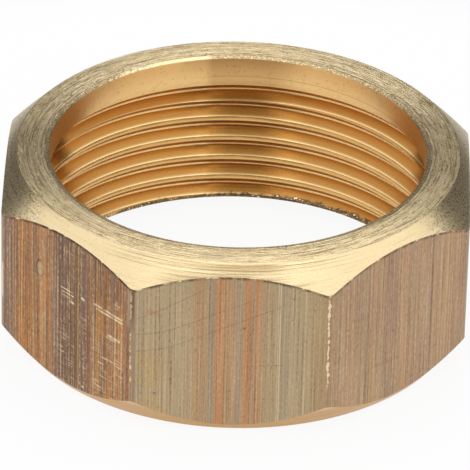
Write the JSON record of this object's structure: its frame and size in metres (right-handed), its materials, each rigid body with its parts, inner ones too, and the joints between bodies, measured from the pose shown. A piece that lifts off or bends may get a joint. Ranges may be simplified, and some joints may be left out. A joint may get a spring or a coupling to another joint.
{
  "type": "union nut",
  "caption": "Octagonal brass union nut with chamfered ends, an inward collar at the top and a G 1 1/4 female pipe thread open at the bottom.",
  "frame": {"origin": "centre of the open threaded face, which the nut rests on", "axes": "+Z along the bore from the open face to the collar, -Y out of the flat that faces the viewer"},
  "size_m": [0.046, 0.046, 0.0185],
  "materials": {
    "brass": "turned ends and drawn flats, slightly oxidised, satin"
  },
  "bodies": {
    "root": {"nut": "brass"}
  },
  "joints": []
}
